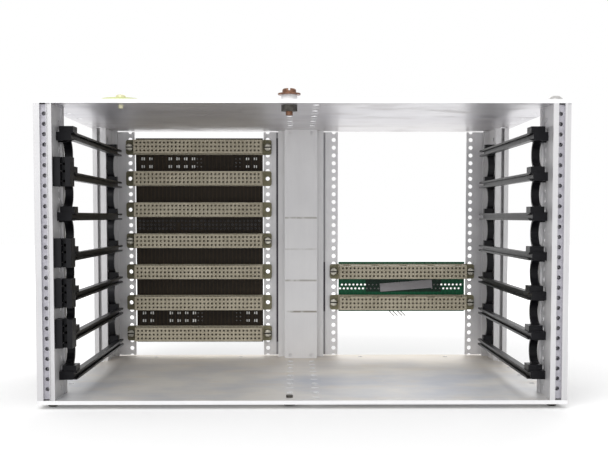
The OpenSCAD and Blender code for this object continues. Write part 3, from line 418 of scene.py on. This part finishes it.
FINISHES = {
    "top_plate": rolled_sheet("rolled_aluminium_top", (0.74, 0.73, 0.76), (0.60, 0.59, 0.63),
                              (0.60, 0.57, 0.56), 0.33, 0.75),
    "bottom_plate": rolled_sheet("rolled_aluminium_bottom", (0.76, 0.735, 0.69),
                                 (0.50, 0.52, 0.57), (0.78, 0.69, 0.57), 0.46, 0.35),
    "front_rail": extrusion("anodised_front_rail", (0.67, 0.665, 0.675), (0.56, 0.555, 0.57),
                            0.42, 0.45),
    "rear_rail": extrusion("anodised_rear_rail", (0.70, 0.695, 0.70), (0.58, 0.575, 0.585),
                           0.42, 0.45),
    "centre_rail": extrusion("anodised_centre_rail", (0.76, 0.755, 0.76), (0.66, 0.655, 0.67),
                             0.42, 0.3, rub_marks),
    "strip": strip_metal("perforated_strip_metal"),
    "threaded": turned_metal("threaded_strip_zinc", (0.46, 0.45, 0.49), (0.36, 0.35, 0.39),
                             0.5, 0.6),
    "guide": moulded("guide_black", (0.004, 0.004, 0.0055), (0.008, 0.0078, 0.010), 0.36, 0.04,
                     specular=0.18),
    "coding": moulded("coding_block_black", (0.006, 0.006, 0.0075), (0.010, 0.010, 0.012), 0.45,
                      0.05, specular=0.2),
    "connector": connector_plastic("connector_moulding"),
    "dark_board": board_laminate("dark_laminate", (0.016, 0.010, 0.005), (0.050, 0.033, 0.015),
                                 (0.028, 0.018, 0.009), 0.46, LEFT_BOARD),
    "green_board": board_laminate("green_laminate", (0.004, 0.13, 0.055), (0.006, 0.17, 0.075),
                                  (0.002, 0.085, 0.036), 0.34, RIGHT_BOARD,
                                  (43.0, 93.3, 46.8, 55.4)),
    "label": moulded("blank_label_film", (0.40, 0.39, 0.42), (0.46, 0.45, 0.48), 0.5, 0.0),
    "zinc": turned_metal("zinc_plating", (0.62, 0.61, 0.60), (0.44, 0.43, 0.42), 0.32),
    "dark_screw": turned_metal("darkened_steel", (0.10, 0.095, 0.085), (0.04, 0.037, 0.033),
                               0.34),
    "bronze": turned_metal("browned_screw", (0.26, 0.14, 0.09), (0.12, 0.06, 0.04), 0.34),
    "white": moulded("white_spacer", (0.88, 0.88, 0.87), (0.82, 0.82, 0.82), 0.5, 0.0),
    "pale_disc": moulded("pale_disc_plastic", (0.62, 0.68, 0.26), (0.70, 0.75, 0.36), 0.5, 0.0),
    "pale_screw": turned_metal("pale_screw", (0.80, 0.78, 0.55), (0.66, 0.64, 0.42), 0.4, 0.4),
    "flange_screw": ringed_screw("flange_screw", (0.62, 0.60, 0.52), (0.045, 0.04, 0.035),
                                 "connector_screws"),
    "tinned": turned_metal("tinned_wire", (0.16, 0.15, 0.11), (0.09, 0.08, 0.06), 0.4),
    "solder": turned_metal("solder", (0.62, 0.62, 0.60), (0.42, 0.42, 0.40), 0.36),
    "dull_solder": turned_metal("dull_solder", (0.26, 0.26, 0.26), (0.14, 0.14, 0.14), 0.45),
    "dull_pad": turned_metal("dull_pad", (0.10, 0.105, 0.115), (0.05, 0.05, 0.055), 0.5, 0.5),
    # the ribs are a paler copy of the connector plastic: a painted highlight on their lit faces
    # beside the shaded sides
    "rib": moulded("lit_connector_rib", (0.56, 0.53, 0.44), (0.48, 0.45, 0.36), 0.55, 0.0),
    "contact": turned_metal("contact_metal", (0.16, 0.10, 0.035), (0.07, 0.045, 0.02), 0.4),
}

NODE_FINISH = {
    "top_side_plate": "top_plate", "bottom_side_plate": "bottom_plate",
    "front_rail_left": "front_rail", "front_rail_right": "front_rail",
    "rear_rail_left": "rear_rail", "rear_rail_right": "rear_rail",
    "centre_rail": "centre_rail", "threaded_strip_left": "threaded",
    "threaded_strip_right": "threaded", "backplane_left": "dark_board",
    "backplane_right": "green_board", "blank_label": "label",
    "connector_screws": "flange_screw", "connector_nuts": "zinc", "strip_screws": "zinc",
    "centre_rail_screws": "zinc", "top_dome_screws": "zinc", "top_flush_screw": "zinc",
    "foot_screws": "dark_screw", "earth_screw": "bronze", "earth_washer": "bronze",
    "earth_spacer": "white", "earth_nut": "dark_screw", "pale_disc": "pale_disc",
    "disc_screw": "pale_screw", "spare_slot_screw": "dark_screw", "wire_leads": "tinned",
}
NODE_FINISH.update({name: "strip" for name in STRIPS})
NODE_FINISH.update({name: "guide" for name in GUIDES})
NODE_FINISH.update({name: "coding" for name in CODING_BLOCKS})
NODE_FINISH.update({name: "connector" for name in CONNECTORS})

for node_name, finish in NODE_FINISH.items():
    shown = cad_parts[node_name]
    shown.data.materials.clear()
    shown.data.materials.append(FINISHES[finish])


# ---------------------------------------------------------------- repeated pieces
def repeat_tree(name, shape):
    """Geometry Nodes tree that sets one small solid on every vertex of a mesh."""
    tree = bpy.data.node_groups.new(name, "GeometryNodeTree")
    sockets = {}
    for label, kind in (("Places", "NodeSocketGeometry"), ("Size", VECTOR),
                        ("Turn", VECTOR), ("Spread", FLOAT), ("Seed", "NodeSocketInt"),
                        ("Finish", "NodeSocketMaterial")):
        made = tree.interface.new_socket(name=label, in_out="INPUT", socket_type=kind)
        sockets[label] = made.identifier
    tree.interface.new_socket(name="Solids", in_out="OUTPUT", socket_type="NodeSocketGeometry")
    g = Graph(tree)
    entry = tree.nodes.new("NodeGroupInput").outputs
    leave = tree.nodes.new("NodeGroupOutput").inputs
    solid = shape(g, entry["Size"])
    vary = g.add("FunctionNodeRandomValue", {"Seed": entry["Seed"]}, data_type="FLOAT")
    low = g.maths("SUBTRACT", 1.0, entry["Spread"])
    high = g.maths("ADD", 1.0, entry["Spread"])
    g.put(vary.inputs[2], low)
    g.put(vary.inputs[3], high)
    placed = g.add("GeometryNodeInstanceOnPoints", {
        "Points": entry["Places"], "Instance": solid, "Rotation": entry["Turn"],
        "Scale": vary.outputs[1]}).outputs[0]
    real = g.add("GeometryNodeRealizeInstances", {"Geometry": placed}).outputs[0]
    coated = g.add("GeometryNodeSetMaterial", {"Geometry": real, "Material": entry["Finish"]})
    g.put(leave["Solids"], coated.outputs[0])
    return tree, sockets


def box_shape(g, size):
    """A bar: width, depth and height come from Size."""
    return g.add("GeometryNodeMeshCube", {"Size": size}).outputs["Mesh"]


def pin_shape(g, size):
    """A pin along Z: Size is its foot diameter, its length and its tip diameter."""
    parts = g.add("ShaderNodeSeparateXYZ", {0: size}).outputs
    return g.add("GeometryNodeMeshCone", {
        "Vertices": 8, "Radius Top": g.maths("MULTIPLY", parts[2], 0.5),
        "Radius Bottom": g.maths("MULTIPLY", parts[0], 0.5),
        "Depth": parts[1]}).outputs["Mesh"]


def ring_shape(g, size):
    """A flat ring round Z: Size is its diameter, its rim's width and its thickness."""
    parts = g.add("ShaderNodeSeparateXYZ", {0: size}).outputs
    path = g.add("GeometryNodeCurvePrimitiveCircle", {
        "Resolution": 12, "Radius": g.maths("MULTIPLY", parts[0], 0.5)}).outputs[0]
    rim = g.add("GeometryNodeCurvePrimitiveQuadrilateral", {
        "Width": parts[1], "Height": parts[2]}).outputs[0]
    return g.add("GeometryNodeCurveToMesh", {
        "Curve": path, "Profile Curve": rim}).outputs[0]


BARS = repeat_tree("bars_on_places", box_shape)
PINS = repeat_tree("pins_on_places", pin_shape)
RINGS = repeat_tree("rings_on_places", ring_shape)
TOWARDS_FRONT = (math.pi / 2, 0.0, 0.0)
TOWARDS_BACK = (-math.pi / 2, 0.0, 0.0)
UPRIGHT = (0.0, 0.0, 0.0)


def repeated(name, kind, places, size, finish, turn=UPRIGHT, spread=0.0, seed=1):
    """One mesh of many small solids, riding on the cage."""
    tree, sockets = kind
    mesh = bpy.data.meshes.new(name)
    mesh.from_pydata([tuple(p) for p in places], [], [])
    piece = bpy.data.objects.new(name, mesh)
    bpy.context.collection.objects.link(piece)
    modifier = piece.modifiers.new("repeat", "NODES")
    modifier.node_group = tree
    for label, value in (("Size", size), ("Turn", turn), ("Spread", spread), ("Seed", seed),
                         ("Finish", FINISHES[finish])):
        modifier[sockets[label]] = value
    depsgraph = bpy.context.evaluated_depsgraph_get()
    done = bpy.data.meshes.new_from_object(piece.evaluated_get(depsgraph))
    piece.modifiers.clear()
    piece.data = done
    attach(piece, "root")
    return piece


def column_x(name, column):
    """X of a contact column, numbered from the left end of a connector."""
    return middle(name).x + (column - (COLUMNS - 1) / 2) * PITCH


def contact_grid(name):
    """(column, row, x, z) of all contacts of a connector; row is -1, 0 or 1."""
    z = middle(name).z
    return [(c, r, column_x(name, c), z + r * PITCH)
            for c in range(COLUMNS) for r in (-1, 0, 1)]


def gap_level(upper, lower):
    """Height half-way between two connectors."""
    return (middle(upper).z + middle(lower).z) / 2


def contact_springs():
    """A spring behind each contact opening."""
    face = node_box("connector_left_1")[0].y
    places = [(x, face + 2.6 * MM, z + 0.28 * MM)
              for name in CONNECTORS for _, _, x, z in contact_grid(name)]
    repeated("contact_springs", BARS, places, (0.5 * MM, 3.2 * MM, 0.28 * MM), "contact",
             spread=0.08, seed=3)


def connector_side_ribs():
    """Ribs on both long sides of the left connectors, one for each contact column."""
    low, high = node_box("connector_left_1")
    half = 4.4 * MM
    places = [(column_x(name, c), high.y - 5.6 * MM, middle(name).z + side * (half + 0.12 * MM))
              for name in LEFT_CONNECTORS for c in range(COLUMNS) for side in (-1, 1)]
    repeated("connector_side_ribs", BARS, places, (0.85 * MM, 4.6 * MM, 0.34 * MM), "rib",
             spread=0.06, seed=5)


def back_pins():
    """Contact tails that come through both boards, each in a small cone of solder."""
    places = [(x, BOARD_BACK + 0.75 * MM, z) for name in CONNECTORS
              for _, _, x, z in contact_grid(name)]
    repeated("contact_tails", PINS, places, (0.55 * MM, 1.5 * MM, 0.3 * MM), "solder",
             TOWARDS_BACK, 0.08, 7)
    places = [(x, BOARD_BACK + 0.25 * MM, z) for x, _, z in places]
    repeated("solder_cones", PINS, places, (1.5 * MM, 0.5 * MM, 0.7 * MM), "solder",
             TOWARDS_BACK, 0.12, 8)


# columns of the soldered parts between the two upper and the two lower left connectors
PART_COLUMNS = (1, 3, 8, 10, 12, 14, 28, 30)
PAD_COLUMNS = (15, 16, 25, 26)


def soldered_parts():
    """Small parts with two soldered ends each, and single pads beside them."""
    big, small = [], []
    for upper, lower in ((1, 2), (6, 7)):
        name = "connector_left_%d" % upper
        z = gap_level(name, "connector_left_%d" % lower) + 0.35 * MM
        for column in PART_COLUMNS:
            for row in (-1, 1):
                for side in (-1, 1):
                    big.append((column_x(name, column) + side * 0.68 * MM,
                                BOARD_FRONT - 0.3 * MM, z + row * PITCH))
        for column in PAD_COLUMNS:
            for row in (-1, 0, 1):
                small.append((column_x(name, column), BOARD_FRONT - 0.15 * MM,
                              z + row * PITCH))
    repeated("soldered_part_ends", BARS, big, (0.72 * MM, 0.6 * MM, 1.7 * MM), "solder",
             spread=0.16, seed=11)
    repeated("solder_pads", PINS, small, (1.0 * MM, 0.3 * MM, 0.6 * MM), "dull_solder",
             TOWARDS_FRONT, 0.15, 12)
    bodies = [(x + 0.68 * MM, BOARD_FRONT - 0.2 * MM, z) for x, _, z in big[::2]]
    repeated("soldered_part_bodies", BARS, bodies, (0.7 * MM, 0.4 * MM, 1.5 * MM), "coding",
             seed=13)


def empty_footprint():
    """Three rows of open pads between the third and fourth left connectors."""
    name = "connector_left_3"
    z = gap_level(name, "connector_left_4") + 0.35 * MM
    places = [(column_x(name, c), BOARD_FRONT - 0.12 * MM, z + r * PITCH)
              for c in range(COLUMNS) for r in (-1, 0, 1) if c != 10 or r == 1]
    repeated("footprint_pads", RINGS, places, (1.15 * MM, 0.4 * MM, 0.24 * MM), "dull_pad",
             TOWARDS_FRONT, 0.05, 14)


def green_board_vias():
    """Rings round the open plated holes and filled ones beside them, in two offset rows."""
    name = "connector_right_5"
    z = gap_level(name, "connector_right_6")
    open_rings, filled = [], []
    for row, shift, bright, dim in (
            (1, 0.0, [*range(7), *range(26, 32)], (7, 8, 9, 24, 25)),
            (-1, -0.5, [*range(7), *range(27, 32)], (7, 8, 9, 10, 24, 25, 26))):
        for columns, into in ((bright, open_rings), (dim, filled)):
            into += [(column_x(name, c + shift), BOARD_FRONT - 0.03 * MM,
                      z + row * PITCH / 2) for c in columns]
    repeated("via_rings", RINGS, open_rings, (1.5 * MM, 0.34 * MM, 0.08 * MM), "solder",
             TOWARDS_FRONT, 0.04, 15)
    repeated("filled_vias", PINS, [(x, y - 0.12 * MM, z) for x, y, z in filled],
             (1.35 * MM, 0.3 * MM, 0.8 * MM), "dull_solder", TOWARDS_FRONT,
             0.1, 16)


def coding_pins():
    """Three short pins in each coding block's channel."""
    places = []
    for name in CODING_BLOCKS:
        low, high = node_box(name)
        for level in (-0.32, 0.02, 0.26):
            places.append((low.x + 3.75 * MM, low.y + 3.2 * MM,
                           (low.z + high.z) / 2 + level * (high.z - low.z)))
    repeated("coding_pins", PINS, places, (0.9 * MM, 2.4 * MM, 0.6 * MM), "solder",
             TOWARDS_FRONT, 0.1, 17)


contact_springs()
connector_side_ribs()
back_pins()
soldered_parts()
empty_footprint()
green_board_vias()
coding_pins()


# ---------------------------------------------------------------- stage, light and camera
def seen_directly(g):
    """1 for rays of the camera, of mirrors and of glass, which see the white backdrop."""
    path = g.add("ShaderNodeLightPath").outputs
    return g.maths("MAXIMUM", path["Is Camera Ray"],
                   g.maths("MAXIMUM", path["Is Glossy Ray"], path["Is Transmission Ray"]))


def stage_floor():
    """White floor that keeps the shadow near the cage and glows more away from it."""
    mesh = bpy.data.meshes.new("floor")
    reach = 3.0
    near, far = 0.25, 0.9
    near_glow, far_glow = 0.13, 0.44
    mesh.from_pydata([(-reach, -reach, 0), (reach, -reach, 0), (reach, reach, 0),
                      (-reach, reach, 0)], [], [(0, 1, 2, 3)])
    floor = bpy.data.objects.new("floor", mesh)
    bpy.context.collection.objects.link(floor)
    f = Finish("white_floor", 0.0, 0.0)
    f.colour((0.92, 0.92, 0.92))
    f.rough(0.9)
    away = f.g.add("ShaderNodeVectorMath", {0: f.place}, operation="LENGTH")
    glow = f.g.remap(away.outputs["Value"], near, far, near_glow, far_glow)
    f.g.put(f.shader.inputs["Emission Color"], (1.0, 1.0, 1.0))
    f.g.put(f.shader.inputs["Emission Strength"],
            f.g.maths("MULTIPLY", seen_directly(f.g), glow))
    mesh.materials.append(f.material)


def world_light(level):
    """Even light of the given level, seen as plain white."""
    world = bpy.data.worlds.new("studio")
    bpy.context.scene.world = world
    world.use_nodes = True
    g = Graph(world.node_tree)
    world.node_tree.nodes.clear()
    strength = g.maths("ADD", g.maths("MULTIPLY", seen_directly(g), 1.0 - level), level)
    sky = g.add("ShaderNodeBackground", {"Color": (1.0, 1.0, 1.0), "Strength": strength})
    out = g.add("ShaderNodeOutputWorld")
    world.node_tree.links.new(sky.outputs[0], out.inputs[0])


def area_lamp(name, place, aim, size, power):
    lamp = bpy.data.lights.new(name, "AREA")
    lamp.shape = "RECTANGLE"
    lamp.size, lamp.size_y = size
    lamp.energy = power
    holder = bpy.data.objects.new(name, lamp)
    bpy.context.collection.objects.link(holder)
    holder.location = place
    holder.rotation_euler = (Vector(aim) - Vector(place)).to_track_quat("-Z", "Y").to_euler()


def front_camera():
    data = bpy.data.cameras.new("camera")
    data.sensor_width = 36.0
    data.lens = 63.6
    data.shift_y = 0.087
    data.clip_start, data.clip_end = 0.01, 20.0
    camera = bpy.data.objects.new("camera", data)
    bpy.context.collection.objects.link(camera)
    camera.location = (-0.0044, -0.62373, 0.0963)
    camera.rotation_euler = (math.pi / 2 - 0.0595, 0.0, -0.0092)
    bpy.context.scene.camera = camera


front_camera()
stage_floor()
world_light(0.72)
area_lamp("front_softbox", (-0.35, -1.1, 0.95), (0, 0, 0.06), (0.9, 0.7), 9.0)
area_lamp("rear_softbox", (0.2, 1.0, 0.9), (0, 0, 0.05), (1.0, 0.8), 5.0)

# ---------------------------------------------------------------- view transform
view = bpy.context.scene.view_settings
view.view_transform = "Standard"
